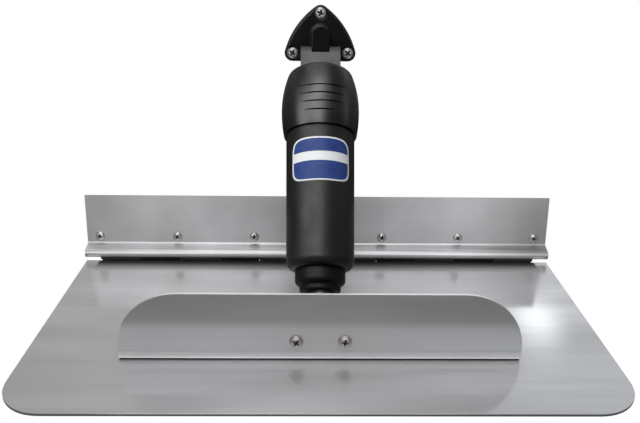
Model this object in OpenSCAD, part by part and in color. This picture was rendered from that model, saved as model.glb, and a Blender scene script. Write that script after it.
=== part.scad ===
// Hydraulic trim tab for a boat's transom, in millimetres.
// Origin: middle of the row of transom screws, on the transom's face.
// +X runs along the transom, +Y into the boat and +Z up, with the tab reaching aft along -Y.

/* [Tab] */
// Width of the tab and of its transom plate
tab_w = 457.2; // [420:0.1:620]
// Length of the tab from its leading edge to its trailing edge
tab_chord = 228.6; // [205:0.1:305]
// Thickness of the stainless sheet
sheet_t = 2; // [1.6:0.1:2.6]
// Radius of the two trailing corners
tab_corner_r = 36; // [12:1:60]
// Slope of the tab below level with the ram drawn in
tab_rest = 8.4; // [4:0.1:12]

/* [Transom plate] */
// Height of the flange above its row of screws
flange_top = 41; // [20:1:70]
// Straight flange below the row of screws
flange_drop = 5.8; // [5:0.1:10]
// Slope of the shelf below level
shelf_slope = 24; // [15:1:40]
// Length of the flat of the shelf
shelf_len = 8.7; // [7:0.1:14]
// Inside radius of the bends at the shelf
bend_r = 2.2; // [1.5:0.1:3]
// Flat under the nose, before the hinge
nose_land = 0.5; // [0.3:0.1:3]

/* [Transom screws] */
// Distance of the end screws from the ends of the plate
screw_edge = 12.7; // [8:0.1:25]
// Distance between neighbouring screws
screw_pitch = 76.2; // [50:0.1:85]
// Screws on each side of the middle
screws_per_side = 3; // [2:1:3]
// Diameter of the shank
screw_d = 4.8; // [4:0.1:5.5]
// Diameter of the pan head
screw_head_d = 9.2; // [8:0.1:10]
// Height of the pan head
screw_head_h = 3; // [2.4:0.1:3.6]
// Length under the head
screw_len = 25.4; // [16:0.1:40]

/* [Hinge] */
// Diameter of the hinge pin
hinge_pin_d = 3.2; // [2.6:0.1:4]
// Diameter of the peened ends of the pin
hinge_peen_d = 5; // [4.4:0.1:6]
// Radial running clearance of every pivot pin
pin_fit = 0.05; // [0.02:0.01:0.1]
// Number of knuckles on both plates together
knuckle_count = 11; // [5:2:21]
// Gap between neighbouring knuckles
knuckle_gap = 0.6; // [0.4:0.1:1.5]
// Gap from a knuckle to the other plate's cut edge
knuckle_clear = 0.4; // [0.3:0.1:1]
// Distance from the end of the hinge to the end of the plate
hinge_inset = 14.6; // [8:0.1:40]
// Angle through which the sheet is rolled round the pin
roll_angle = 285; // [250:1:290]

/* [Actuator angle] */
// Length of the angle along the tab
angle_len = 308; // [240:1:400]
// Height of the angle above the tab
angle_h = 58; // [52:0.5:75]
// Radius of the two upper corners
angle_corner_r = 47.5; // [15:0.5:48]
// Depth of the foot that lies on the tab
angle_foot = 25.4; // [15:0.1:40]
// Inside radius of its bend
angle_bend_r = 1.6; // [1:0.1:6]
// Distance of its aft face from the hinge axis
angle_s = 171; // [163:0.5:185]
// Distance between its two screws
angle_screw_gap = 37; // [36:0.5:50]
// Height of the two screws above the tab
angle_screw_h = 17.5; // [14:0.5:22]
// Diameter of the screw shank
angle_screw_d = 5; // [4:0.1:6]
// Diameter of the pan head
angle_head_d = 10.4; // [9:0.1:12]
// Height of the pan head
angle_head_h = 3.4; // [2.6:0.1:4]

/* [Lower bracket] */
// Distance of the lower pivot from the face of the angle
lower_out = 29; // [24:0.5:34]
// Height of the lower pivot above the tab
lower_h = 21.6; // [19:0.1:28]
// Width of the bracket's base
lower_base_w = 58; // [52:0.5:70]
// Thickness of the bracket's base
lower_base_t = 6; // [4:0.5:8]
// Lower edge of the base above the tab
lower_base_low = 8; // [7:0.5:9]
// Thickness of each ear
lower_ear_t = 6; // [4:0.5:6.5]
// Radius of the ears round the pivot
lower_ear_r = 9; // [7.5:0.5:11]
// Diameter of both pivot pins
pivot_pin_d = 6.4; // [5:0.1:7]
// Width of the nuts across their flats
nut_flats = 8; // [7:0.1:8.5]
// Thickness of the nuts
nut_t = 4; // [3:0.1:5]

/* [Upper bracket] */
// Height of the bracket's two lower screws above the transom screws
bracket_z = 178.7; // [165:0.1:200]
// Distance between the two lower screws
bracket_screw_w = 50.8; // [48:0.1:60]
// Height of the top screw above the lower two
bracket_screw_h = 35.4; // [33:0.1:45]
// Radius of the bracket's corners round the screws
bracket_corner_r = 7.4; // [6.8:0.1:9]
// Radius of the bracket's bowed sides
bracket_side_r = 73; // [60:1:120]
// Thickness of the bracket's base
bracket_t = 9.5; // [7.5:0.1:11]
// Width of the bevel round its rim
bracket_bevel = 2.4; // [1:0.1:3]
// Depth of the recess under each screw head
bracket_recess = 3; // [1:0.1:4]
// Width of the lug that carries the ram
lug_w = 15; // [12:0.1:17]
// Radius of the lug round the upper pivot
lug_r = 5.7; // [5.2:0.1:6]
// Height of the middle of the lug's arched top above the pivot
lug_arch = 16.5; // [14:0.1:20]
// Width and height of the raised rim round the lug
lug_rim = 1.6; // [0.8:0.1:2.5]
// Distance of the upper pivot from the transom
pivot_out = 24; // [22.5:0.1:28]
// Diameter of the port for the hydraulic line
port_d = 6.4; // [4:0.1:8]
// Depth of that port
port_depth = 14; // [8:0.5:15]
// Diameter of the bracket's screw shanks
bracket_screw_d = 6; // [5:0.1:7]
// Diameter of their pan heads
bracket_head_d = 11.2; // [9:0.1:12]
// Height of their pan heads
bracket_head_h = 4; // [3:0.1:5]
// Length of the bracket's screws under the head
bracket_screw_len = 38; // [25:0.5:60]

/* [Cylinder] */
// Distance from the upper pivot to the top of the bulb
head_top = 22.5; // [20:0.5:26]
// Greatest radius of the bulb
head_r = 33.7; // [33.2:0.1:38]
// Radius of the bulb's rounded shoulder
shoulder_r = 6; // [3:0.5:9]
// Radius of the bow of the bulb's side below its shoulder
head_bow_r = 95.5; // [80:0.5:140]
// Distance from the pivot to the bulb's greatest radius
head_full = 57; // [54:0.5:62]
// Distance from the pivot to the bulb's lower rim
head_end = 81.5; // [76:0.5:90]
// Radius of the bulb at its lower rim
head_rim_r = 31.4; // [30.6:0.1:32.6]
// Width of the neck across its two ears
neck_w = 35.2; // [30:0.1:40]
// Depth of the neck from front to back
neck_d = 19; // [18.2:0.1:22]
// Drop of the middle of the ears' round tops below the pivot
ear_drop = 3.5; // [2:0.1:4]
// Thickness of the web that closes the neck in front
neck_web = 3; // [2:0.1:3.4]
// Top of that web below the pivot
neck_web_top = 4; // [2:0.5:8]
// Gap on each side of the lug
neck_side_gap = 0.4; // [0.2:0.1:1]
// Width and greatest depth of the grip grooves
groove_w = 1.2; // [0.6:0.1:2]
// Distance between neighbouring grip grooves
groove_pitch = 7.5; // [6:0.1:9]
// Distance from the pivot to the first groove
groove_first = 47.6; // [44:0.1:52]
// Half angle of the longest groove
groove_span = 44; // [30:1:55]
// Loss of half angle from one groove to the next
groove_step = 5.7; // [2:0.1:7]
// Distance from the pivot to the top of the barrel
barrel_top = 52; // [48:0.5:53]
// Outer radius of the barrel in the head
barrel_r = 29.4; // [28:0.1:30]
// Outer radius of the barrel at its lower end
barrel_low_r = 27.8; // [27.2:0.1:29]
// Distance from the pivot to the lower end of the barrel
barrel_end = 199; // [190:0.5:202]
// Radius of the barrel's rounded lower end
barrel_round = 7; // [3:0.5:8]
// Radius of the barrel's bore
bore_r = 24.5; // [23:0.1:25]
// Thickness of the barrel's lower end
barrel_floor = 9; // [7.5:0.5:12]
// Section diameter of the two sealing rings on the barrel
ring_d = 1.8; // [1.4:0.1:2.4]
// Clearance of fixed round fits
fixed_fit = 0.05; // [0.02:0.01:0.15]

/* [Gland] */
// Height of the gland's shoulder inside the barrel
gland_shoulder = 12; // [10:0.5:16]
// Radius of the gland's nose
gland_r = 20.5; // [18:0.1:21]
// Distance from the pivot to the end of the nose
gland_end = 212; // [208:0.5:213]
// Radius of the rounded end of the nose
gland_round = 4.5; // [2:0.5:6]
// Radius of the tip
tip_r = 16.8; // [13:0.1:17.5]
// Length of the tip
tip_len = 5; // [3:0.5:5.5]
// Radius of the rounded end of the tip
tip_round = 2; // [0.5:0.1:2.5]
// Radial depth of the rod's seal and wiper
seal_depth = 2.8; // [2:0.1:3.5]
// Height of the rod's seal and wiper
seal_h = 3.4; // [2.5:0.1:3.6]

/* [Ram] */
// Diameter of the rod
rod_d = 16; // [12:0.1:17]
// Diameter of the rod's spigot in the piston
spigot_d = 12; // [8:0.1:12]
// Distance from the pivot to the top of the piston
piston_top = 60; // [59.5:0.5:70]
// Thickness of the piston
piston_t = 14; // [10:0.5:18]
// Gap between piston and bore
piston_gap = 0.3; // [0.2:0.05:0.6]
// Depth of the piston's seal
piston_seal_depth = 2.2; // [1.5:0.1:3]
// Height of the piston's seal
piston_seal_h = 3.2; // [2:0.1:5]
// Width of the piston's nut across its flats
piston_nut_flats = 19; // [18:0.1:24]
// Thickness of the piston's nut
piston_nut_t = 6; // [4:0.1:6.4]
// Outer diameter of the ram's eye
eye_d = 20; // [18:0.1:22]
// Width of the ram's eye
eye_w = 14; // [10:0.1:15]
// Gap on each side of the eye
eye_side_gap = 0.5; // [0.3:0.1:1]
// Play of the eye round the lower pivot pin
eye_play = 1.2; // [1.1:0.05:1.6]
// Radius of the eye's socket round the rod
socket_r = 11; // [10:0.1:12.5]
// Gap between the gland's tip and the eye's socket
socket_gap = 2; // [1:0.1:3]
// Depth of the rod in the eye's socket
socket_depth = 4.4; // [3:0.1:4.8]

/* [Return spring] */
// Wire diameter
wire_d = 3.6; // [2.5:0.1:4.4]
// Mean radius of the coils
coil_r = 17; // [14:0.1:19]
// Number of coils
coil_count = 9; // [6:1:11]
// Gap at each end of the spring
coil_end_gap = 0.1; // [0.05:0.05:0.5]

/* [Hidden] */
$fn = 64;
// Overlap of a cutting tool past the face that it cuts
cut = 1;

// Hinge knuckles
knuckle_ri = hinge_pin_d / 2 + pin_fit;
knuckle_ro = knuckle_ri + sheet_t;
knuckle_cut = knuckle_ro + knuckle_clear;
knuckle_pitch = (tab_w - 2 * hinge_inset) / knuckle_count;
knuckle_w = knuckle_pitch - knuckle_gap;
function knuckle_x(i) = (i - (knuckle_count - 1) / 2) * knuckle_pitch;

// Section of the transom plate, as [y, z]: below the flange, along the shelf, round the nose, to the hinge
bend_steps = 20;
shelf_back = [sin(shelf_slope), -cos(shelf_slope)];
shelf_run = [-cos(shelf_slope), -sin(shelf_slope)];
flange_bend = [-sheet_t - bend_r, -flange_drop];
nose_centre = flange_bend + shelf_len * shelf_run + (sheet_t + 2 * bend_r) * shelf_back;
nose_end = nose_centre + [nose_land, -sheet_t - bend_r];
hinge_y = nose_end[0] + knuckle_cut;
hinge_z = nose_end[1] - knuckle_ri;
function arc(centre, r, from, to, steps = bend_steps) = [for (k = [0 : steps])
    let (a = from + (to - from) * k / steps) centre + r * [cos(a), sin(a)]];
plate_section = concat(
    [[-sheet_t, flange_top]],
    arc(flange_bend, bend_r, 0, shelf_slope - 90),
    arc(nose_centre, bend_r + sheet_t, 90 + shelf_slope, 270),
    [nose_end, nose_end + [0, sheet_t]],
    arc(nose_centre, bend_r, 270, 90 + shelf_slope),
    arc(flange_bend, bend_r + sheet_t, shelf_slope - 90, 0),
    [[0, flange_top]]);

// Heights in the tab's own frame, where the hinge axis is the origin
tab_top = -knuckle_ri;
angle_face = -angle_s + sheet_t;
angle_grip = sheet_t + lower_base_t;

// The two pivots of the ram, and the line between them
pivot_y = -pivot_out;
pivot_z = bracket_z;
lower_y = angle_face + lower_out;
lower_n = tab_top + lower_h;
lower_world_y = hinge_y + lower_y * cos(tab_rest) - lower_n * sin(tab_rest);
lower_world_z = hinge_z + lower_y * sin(tab_rest) + lower_n * cos(tab_rest);
ram_len = norm([lower_world_y - pivot_y, lower_world_z - pivot_z]);
ram_tilt = atan2(pivot_y - lower_world_y, pivot_z - lower_world_z);

// Levels along the ram, measured from the upper pivot
gland_seat = barrel_end - barrel_floor;
gland_top = gland_seat - gland_shoulder;
tip_end = gland_end + tip_len;
piston_end = piston_top + piston_t;
eye_top = tip_end + socket_gap;
rod_end = eye_top + socket_depth;
rod_bore_r = rod_d / 2 + pin_fit;
pivot_bore_r = pivot_pin_d / 2 + pin_fit;
groove_count = 4;
slot_r = neck_d / 2 - neck_web;
neck_slot_w = lug_w + 2 * neck_side_gap;
ear_in = eye_w / 2 + eye_side_gap;
ear_out = ear_in + lower_ear_t;
ring_depth = ring_d + fixed_fit;

screw_holes = [for (side = [-1, 1], i = [0 : screws_per_side - 1])
    side * (tab_w / 2 - screw_edge - i * screw_pitch)];
bracket_holes = [[0, bracket_screw_h], [-bracket_screw_w / 2, 0], [bracket_screw_w / 2, 0]];

// Flat run of sheet along +X, front face at y = 0; what follows starts at its end
module leg(len, w) {
    translate([0, -sheet_t, -w / 2]) cube([len, sheet_t, w]);
    translate([len, 0, 0]) children();
}

// Bend towards the front face
module bend_in(angle, r, w) {
    translate([0, r, -w / 2]) rotate(-90) rotate_extrude(angle = angle)
        translate([r, 0]) square([sheet_t, w]);
}

// Tongue and roll of one knuckle
module knuckle() {
    leg(knuckle_cut, knuckle_w) bend_in(roll_angle, knuckle_ri, knuckle_w);
}

// Cylinder along X, centred
module x_rod(r, len) {
    rotate([0, 90, 0]) cylinder(r = r, h = len, center = true);
}

// Screw along Z with a cross recess: head above z = 0, plain neck through what it clamps, pointed shank below
module pan_screw(shank_d, head_d, head_h, len, grip) {
    edge_h = 0.4 * head_h;
    dome_h = head_h - edge_h;
    dome_r = (head_d * head_d / 4 + dome_h * dome_h) / (2 * dome_h);
    neck_d = 0.9 * shank_d;
    recess_w = 0.14 * head_d;
    recess_l = 0.56 * head_d;
    recess_h = 0.55 * head_h;
    difference() {
        union() {
            intersection() {
                cylinder(d = head_d, h = head_h);
                translate([0, 0, head_h - dome_r]) sphere(dome_r);
            }
            translate([0, 0, -grip]) cylinder(d = neck_d, h = grip);
            translate([0, 0, shank_d - len]) cylinder(d = shank_d, h = len - shank_d - grip);
            translate([0, 0, -len]) cylinder(d1 = 0.2 * shank_d, d2 = shank_d, h = shank_d);
        }
        for (turn = [0, 90]) rotate(turn)
            translate([-recess_l / 2, -recess_w / 2, head_h - recess_h]) cube([recess_l, recess_w, head_h]);
    }
}

// Hexagonal nut along Z with a plain hole
module hex_nut(flats, hole_d, h) {
    difference() {
        cylinder(d = flats / cos(30), h = h, $fn = 6);
        translate([0, 0, -cut]) cylinder(d = hole_d, h = h + 2 * cut);
    }
}

// Ring of round section in the ram's frame, at a distance from the pivot
module round_ring(mean_r, section_d, at) {
    translate([0, 0, -at]) rotate_extrude() translate([mean_r, 0]) circle(d = section_d, $fn = 32);
}

// Ring of square section in the ram's frame, from one level to another
module square_ring(r_in, r_out, from, to) {
    translate([0, 0, -to]) rotate_extrude() translate([r_in, 0]) square([r_out - r_in, to - from]);
}

// Places children, modelled about the hinge axis with the tab level, on the tab
module on_tab() {
    translate([0, hinge_y, hinge_z]) rotate([tab_rest, 0, 0]) children();
}

// Places children, modelled down -Z from the upper pivot, on the ram's line
module on_ram() {
    translate([0, pivot_y, pivot_z]) rotate([-ram_tilt, 0, 0]) children();
}

// Places children, modelled with a head towards +Z, with that head towards the stern
module facing_aft() {
    rotate([90, 0, 0]) children();
}

// One sheet: flange, shelf, rounded nose and the hinge's outer knuckles
module transom_plate() color("silver") difference() {
    translate([0, nose_end[0], nose_end[1]]) {
        rotate(120, [1, 1, 1]) linear_extrude(tab_w, center = true)
            polygon([for (p = plate_section) p - nose_end]);
        rotate(120, [-1, -1, 1])
            for (i = [0 : 2 : knuckle_count - 1]) translate([0, 0, knuckle_x(i)]) knuckle();
    }
    for (x = screw_holes) translate([x, cut, 0]) facing_aft()
        cylinder(d = screw_d + 2 * fixed_fit, h = sheet_t + 2 * cut);
}

// Pin through all knuckles, with peened ends
module hinge_pin() color("gainsboro") translate([0, hinge_y, hinge_z]) {
    peen_t = hinge_peen_d / 4;
    span = knuckle_count * knuckle_pitch;
    x_rod(hinge_pin_d / 2, span);
    for (side = [-1, 1]) translate([side * (span + peen_t) / 2, 0, 0]) x_rod(hinge_peen_d / 2, peen_t);
}

// Six pan head screws through the flange
module transom_screws() color("whitesmoke") for (x = screw_holes)
    translate([x, -sheet_t, 0]) facing_aft()
        pan_screw(screw_d, screw_head_d, screw_head_h, screw_len, sheet_t);

// Flat plate with round trailing corners and the hinge's inner knuckles
module trim_plane() color("silver") on_tab() {
    translate([0, -knuckle_cut - tab_chord, tab_top - sheet_t]) linear_extrude(sheet_t) {
        translate([-tab_w / 2, tab_corner_r]) square([tab_w, tab_chord - tab_corner_r]);
        translate([tab_corner_r - tab_w / 2, 0]) square([tab_w - 2 * tab_corner_r, tab_corner_r + cut]);
        for (side = [-1, 1])
            translate([side * (tab_w / 2 - tab_corner_r), tab_corner_r]) circle(tab_corner_r);
    }
    translate([0, -knuckle_cut, tab_top]) rotate(120, [1, 1, 1])
        for (i = [1 : 2 : knuckle_count - 2]) translate([0, 0, knuckle_x(i)]) knuckle();
}

// Bent angle: foot on the tab, upright flange with wide round corners
module actuator_angle() color("darkgray") on_tab() difference() {
    bend_h = angle_bend_r + sheet_t;
    union() {
        translate([0, angle_foot - angle_s, tab_top + sheet_t]) rotate(120, [1, -1, -1])
            leg(angle_foot - bend_h, angle_len) bend_in(90, angle_bend_r, angle_len);
        translate([0, angle_face, tab_top]) facing_aft() linear_extrude(sheet_t) intersection() {
            translate([-angle_len / 2, bend_h]) square([angle_len, angle_h - bend_h]);
            union() {
                square([angle_len, 2 * (angle_h - angle_corner_r)], center = true);
                square([angle_len - 2 * angle_corner_r, 2 * angle_h], center = true);
                for (side = [-1, 1])
                    translate([side * (angle_len / 2 - angle_corner_r), angle_h - angle_corner_r])
                        circle(angle_corner_r);
            }
        }
    }
    angle_holes() cylinder(d = angle_screw_d + 2 * fixed_fit, h = 4 * sheet_t, center = true);
}

// Children at each of the two screws of the lower bracket, pointing aft from the angle's aft face
module angle_holes() {
    for (side = [-1, 1])
        translate([side * angle_screw_gap / 2, -angle_s, tab_top + angle_screw_h]) facing_aft() children();
}

// Moulded clevis behind the angle
module lower_bracket() color([0.1, 0.1, 0.11]) on_tab() difference() {
    union() {
        translate([-lower_base_w / 2, angle_face, tab_top + lower_base_low])
            cube([lower_base_w, lower_base_t, lower_h + lower_ear_r - lower_base_low]);
        for (x = [-ear_out, ear_in]) translate([x, 0, 0]) rotate([90, 0, 90]) linear_extrude(lower_ear_t) {
            translate([angle_face, lower_n - lower_ear_r]) square([lower_out, 2 * lower_ear_r]);
            translate([lower_y, lower_n]) circle(lower_ear_r);
        }
    }
    translate([0, lower_y, lower_n]) x_rod(pivot_bore_r, 2 * (ear_out + cut));
    angle_holes() cylinder(d = angle_screw_d + 2 * fixed_fit, h = 4 * angle_grip, center = true);
}

// Two pan head screws through angle and bracket
module lower_bracket_screws() color("whitesmoke") on_tab() angle_holes()
    pan_screw(angle_screw_d, angle_head_d, angle_head_h, angle_grip + nut_t + angle_screw_d, angle_grip);

// Nuts on the bracket's inner face
module lower_bracket_nuts() color("gainsboro") on_tab() angle_holes()
    translate([0, 0, -angle_grip - nut_t]) hex_nut(nut_flats, angle_screw_d + 2 * fixed_fit, nut_t);

// Pin through the two ears of the lower bracket
module lower_pivot_pin() color("gainsboro") on_tab()
    translate([0, lower_y, lower_n]) x_rod(pivot_pin_d / 2, 2 * ear_out);

// Outline of the upper bracket with its corners grown by a radius: a pointed arch on a straight base
module bracket_outline(corner_r) {
    half = [bracket_screw_w / 2, bracket_screw_h] / 2;
    side_r = bracket_side_r - bracket_corner_r;
    reach = sqrt(side_r * side_r - half * half) / norm(half);
    centre = [half[0] - reach * half[1], half[1] - reach * half[0]];
    offset(corner_r) intersection() {
        translate(centre) circle(side_r, $fn = 180);
        translate([-centre[0], centre[1]]) circle(side_r, $fn = 180);
        translate([-bracket_screw_w, 0]) square(2 * bracket_screw_w);
    }
}

// Moulded bracket on the transom: bevelled base, arched lug for the ram, port for the line
module upper_bracket() color([0.1, 0.1, 0.11]) translate([0, 0, bracket_z]) difference() {
    lug_top = lug_arch + lug_w / 2;
    lug_front = pivot_y - lug_r;
    union() {
        facing_aft() hull() {
            linear_extrude(bracket_t - bracket_bevel) bracket_outline(bracket_corner_r);
            linear_extrude(bracket_t) bracket_outline(bracket_corner_r - bracket_bevel);
        }
        facing_aft() linear_extrude(bracket_t + lug_rim) lug_arch_outline(lug_w + 2 * lug_rim);
        intersection() {
            facing_aft() linear_extrude(pivot_out + lug_r + cut) lug_arch_outline(lug_w);
            rotate([90, 0, 90]) linear_extrude(lug_w + 2 * cut, center = true) {
                translate([pivot_y, 0]) circle(lug_r);
                polygon([[pivot_y, -lug_r], [0, -lug_r], [0, lug_top], [lug_front, lug_top], [lug_front, 0]]);
            }
        }
    }
    translate([0, pivot_y, 0]) x_rod(pivot_bore_r, lug_w + 2 * cut);
    translate([0, cut, lug_arch / 2]) facing_aft() cylinder(d = port_d, h = port_depth + cut);
    for (p = bracket_holes) translate([p[0], cut, p[1]]) facing_aft() {
        cylinder(d = bracket_screw_d + 2 * fixed_fit, h = bracket_t + 2 * cut);
        translate([0, 0, bracket_t - bracket_recess + cut])
            cylinder(d = bracket_head_d + 4 * fixed_fit, h = bracket_recess + cut);
    }
}

// Front view of the lug: a round arch on straight sides
module lug_arch_outline(w) {
    translate([-w / 2, -lug_r]) square([w, lug_arch + lug_r]);
    translate([0, lug_arch]) circle(d = w);
}

// Three pan head screws of the upper bracket
module upper_bracket_screws() color("whitesmoke") for (p = bracket_holes)
    translate([p[0], bracket_recess - bracket_t, bracket_z + p[1]]) facing_aft()
        pan_screw(bracket_screw_d, bracket_head_d, bracket_head_h, bracket_screw_len,
            bracket_t - bracket_recess);

// Pin through the lug and both ears of the neck
module upper_pivot_pin() color("gainsboro") translate([0, pivot_y, pivot_z])
    x_rod(pivot_pin_d / 2, neck_w);

// Section of the bulb, as [radius, height]: from the lower rim up its bowed sides and over its shoulder
bulb_steps = 8;
rim_drop = head_end - head_full;
rim_in = head_r - head_rim_r;
rim_bow_r = (rim_drop * rim_drop + rim_in * rim_in) / (2 * rim_in);
rim_angle = asin(rim_drop / rim_bow_r);
head_rise = head_full - head_top - shoulder_r;
bow_angle = asin(head_rise / (head_bow_r - shoulder_r));
bow_centre = [head_r - head_bow_r, -head_full];
shoulder_centre = bow_centre + (head_bow_r - shoulder_r) * [cos(bow_angle), sin(bow_angle)];
bulb_section = concat(
    [[0, -head_end]],
    arc([head_r - rim_bow_r, -head_full], rim_bow_r, -rim_angle, 0, bulb_steps),
    arc(bow_centre, head_bow_r, bow_angle / bulb_steps, bow_angle, bulb_steps),
    arc(shoulder_centre, shoulder_r, bow_angle + (90 - bow_angle) / bulb_steps, 90, bulb_steps),
    [[0, -head_top]]);

// Radius of the bulb at a distance from the pivot
function head_radius(at) =
    let (bow_r = at < head_full ? head_bow_r : rim_bow_r)
        head_r - bow_r + sqrt(bow_r * bow_r - (at - head_full) * (at - head_full));

// Moulded head: forked neck, bulb with grip grooves and the socket for the barrel
module cylinder_head() color([0.12, 0.12, 0.13]) on_ram() difference() {
    union() {
        translate([0, 0, -ear_drop]) x_rod(neck_d / 2, neck_w);
        translate([-neck_w / 2, -neck_d / 2, -head_top - shoulder_r])
            cube([neck_w, neck_d, head_top + shoulder_r - ear_drop]);
        rotate_extrude() polygon(bulb_section);
    }
    x_rod(pivot_bore_r, neck_w + 2 * cut);
    neck_slot();
    translate([0, 0, -head_end - cut]) cylinder(r = barrel_r + fixed_fit, h = head_end - barrel_top + cut);
    for (i = [0 : groove_count - 1])
        grip_groove(groove_first + i * groove_pitch, groove_span - i * groove_step);
}

// Slot for the lug: open behind and on top, closed in front by the web
module neck_slot() {
    top = neck_d / 2 + cut;
    translate([-neck_slot_w / 2, -slot_r, -slot_r]) cube([neck_slot_w, slot_r + top, slot_r + top]);
    translate([-neck_slot_w / 2, -top, -neck_web_top]) cube([neck_slot_w, top, neck_web_top + top]);
}

// Groove across the front of the bulb that runs out at a half angle on each side
module grip_groove(at, half_angle) {
    r = head_radius(at);
    depth = groove_w;
    shift = (2 * depth * r - depth * depth) / (2 * r * (1 - cos(half_angle)) - 2 * depth);
    translate([0, 0, -at - groove_w / 2]) difference() {
        translate([-head_r, -head_r - cut, 0]) cube([2 * head_r, head_r, groove_w]);
        translate([0, shift, -cut]) cylinder(r = r - depth + shift, h = groove_w + 2 * cut);
    }
}

// Sealing ring between head and barrel
head_ring_at = (barrel_top + head_full) / 2;
module head_seal() color("black") on_ram()
    round_ring(barrel_r - ring_d / 2 - fixed_fit / 2, ring_d, head_ring_at);

// Moulded tube with a slight draft and a rounded lower end
module barrel() color([0.12, 0.12, 0.13]) on_ram() difference() {
    rotate_extrude() {
        polygon([[0, barrel_round - barrel_end], [barrel_low_r, barrel_round - barrel_end],
            [barrel_r, -head_end], [barrel_r, -barrel_top], [0, -barrel_top]]);
        translate([0, -barrel_end]) square([barrel_low_r - barrel_round, barrel_round + cut]);
        intersection() {
            translate([barrel_low_r - barrel_round, barrel_round - barrel_end]) circle(barrel_round);
            translate([0, -barrel_end]) square([barrel_low_r, barrel_round + cut]);
        }
    }
    translate([0, 0, -gland_seat]) cylinder(r = bore_r, h = gland_seat - barrel_top + cut);
    translate([0, 0, -barrel_end - cut]) cylinder(r = gland_r + 2 * fixed_fit, h = barrel_floor + 2 * cut);
    square_ring(barrel_r - ring_depth, barrel_r + cut, head_ring_at - ring_depth / 2,
        head_ring_at + ring_depth / 2);
}

// Stepped nose that guides the rod, held by its shoulder inside the barrel
module rod_gland() color([0.12, 0.12, 0.13]) on_ram() difference() {
    gland_fit = bore_r - 2 * fixed_fit;
    rotate_extrude() {
        translate([0, -gland_seat]) square([gland_fit, gland_shoulder]);
        translate([0, gland_round - gland_end]) square([gland_r, gland_end - gland_round - gland_seat + cut]);
        translate([0, -gland_end]) square([gland_r - gland_round, gland_round + cut]);
        intersection() {
            translate([gland_r - gland_round, gland_round - gland_end]) circle(gland_round);
            translate([0, -gland_end]) square([gland_r, gland_round + cut]);
        }
        translate([0, tip_round - tip_end]) square([tip_r, tip_len - tip_round + cut]);
        translate([0, -tip_end]) square([tip_r - tip_round, tip_round + cut]);
        intersection() {
            translate([tip_r - tip_round, tip_round - tip_end]) circle(tip_round);
            translate([0, -tip_end]) square([tip_r, tip_round + cut]);
        }
    }
    translate([0, 0, -tip_end - cut]) cylinder(r = rod_bore_r, h = tip_end - gland_top + 2 * cut);
    square_ring(0, rod_bore_r + seal_depth, rod_seal_at, rod_seal_at + seal_h);
    square_ring(0, rod_bore_r + seal_depth, wiper_at, wiper_at + seal_h);
    square_ring(gland_fit - ring_depth, gland_fit + cut, gland_ring_at - ring_depth / 2,
        gland_ring_at + ring_depth / 2);
}

// Levels of the gland's three rings
gland_ring_at = gland_top + gland_shoulder / 2;
rod_seal_at = gland_top + (gland_shoulder - seal_h) / 2;
wiper_at = tip_end - tip_round - seal_h;

// Sealing ring between gland and barrel
module gland_seal() color("black") on_ram()
    round_ring(bore_r - ring_d / 2 - fixed_fit, ring_d, gland_ring_at);

// Lip seal on the rod
module rod_seal() color("black") on_ram()
    square_ring(rod_bore_r, rod_bore_r + seal_depth - fixed_fit, rod_seal_at + fixed_fit,
        rod_seal_at + seal_h - fixed_fit);

// Wiper at the mouth of the gland
module rod_wiper() color("black") on_ram()
    square_ring(rod_bore_r, rod_bore_r + seal_depth - fixed_fit, wiper_at + fixed_fit,
        wiper_at + seal_h - fixed_fit);

// Polished rod with a spigot for the piston
module ram_rod() color("gainsboro") on_ram() {
    translate([0, 0, -rod_end]) cylinder(d = rod_d, h = rod_end - piston_end);
    translate([0, 0, -piston_end - cut]) cylinder(d = spigot_d, h = piston_t + piston_nut_t + cut);
}

// Piston on the spigot, grooved for its seal
module piston() color("ivory") on_ram() difference() {
    r = bore_r - piston_gap;
    mid = (piston_top + piston_end) / 2;
    square_ring(spigot_d / 2 + fixed_fit, r, piston_top, piston_end);
    square_ring(r - piston_seal_depth, r + cut, mid - piston_seal_h / 2, mid + piston_seal_h / 2);
}

// Seal in the piston's groove
module piston_seal() color("black") on_ram() {
    mid = (piston_top + piston_end) / 2;
    square_ring(bore_r - piston_gap - piston_seal_depth + fixed_fit, bore_r - pin_fit,
        mid - piston_seal_h / 2 + fixed_fit, mid + piston_seal_h / 2 - fixed_fit);
}

// Nut that holds the piston
module piston_nut() color("gainsboro") on_ram() translate([0, 0, -piston_top])
    hex_nut(piston_nut_flats, spigot_d + 2 * fixed_fit, piston_nut_t);

// Moulded eye on the rod's end
module ram_eye() color([0.1, 0.1, 0.11]) on_ram() difference() {
    union() {
        translate([0, 0, -ram_len]) x_rod(eye_d / 2, eye_w);
        translate([-eye_w / 2, -eye_d / 2, -ram_len]) cube([eye_w, eye_d, ram_len - rod_end - cut]);
        translate([0, 0, -rod_end - cut]) cylinder(r = socket_r, h = rod_end - eye_top + cut);
    }
    translate([0, 0, -ram_len]) x_rod(pivot_pin_d / 2 + eye_play, eye_w + 2 * cut);
    translate([0, 0, -rod_end]) cylinder(d = rod_d + 2 * fixed_fit, h = socket_depth + cut);
}

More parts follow.
